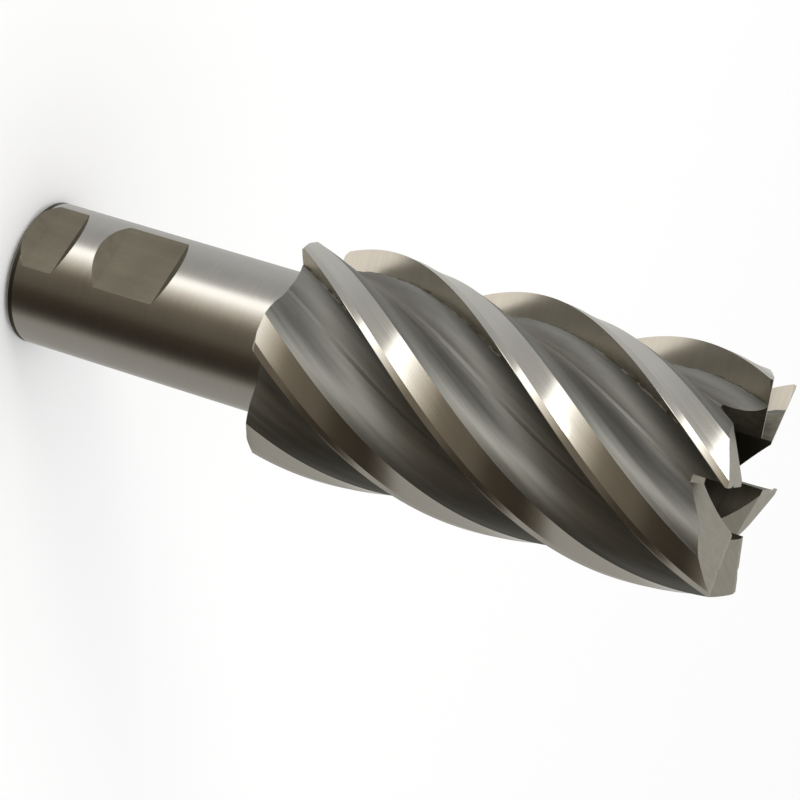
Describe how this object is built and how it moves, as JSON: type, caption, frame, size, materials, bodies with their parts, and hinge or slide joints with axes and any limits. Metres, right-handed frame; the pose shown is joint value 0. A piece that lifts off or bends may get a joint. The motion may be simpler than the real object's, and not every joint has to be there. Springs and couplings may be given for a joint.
{
  "type": "square end mill",
  "caption": "Square end mill: helical cutting edges round a cylindrical cutter and across its flat end, on a straight shank with drive flats.",
  "frame": {"origin": "centre of the shank's end face, the surface the tool stands on", "axes": "+Z along the tool's axis, from the shank end to the cutting end; the outer end of one end edge lies towards +X; the drive flats face 97 degrees clockwise from +X, seen from the cutting end"},
  "size_m": [0.0508, 0.0508, 0.1651],
  "materials": {
    "tool_steel": "ground high-speed steel: fine ground shank and lands, milled flutes"
  },
  "bodies": {
    "root": {"end_mill": "tool_steel"}
  },
  "joints": []
}
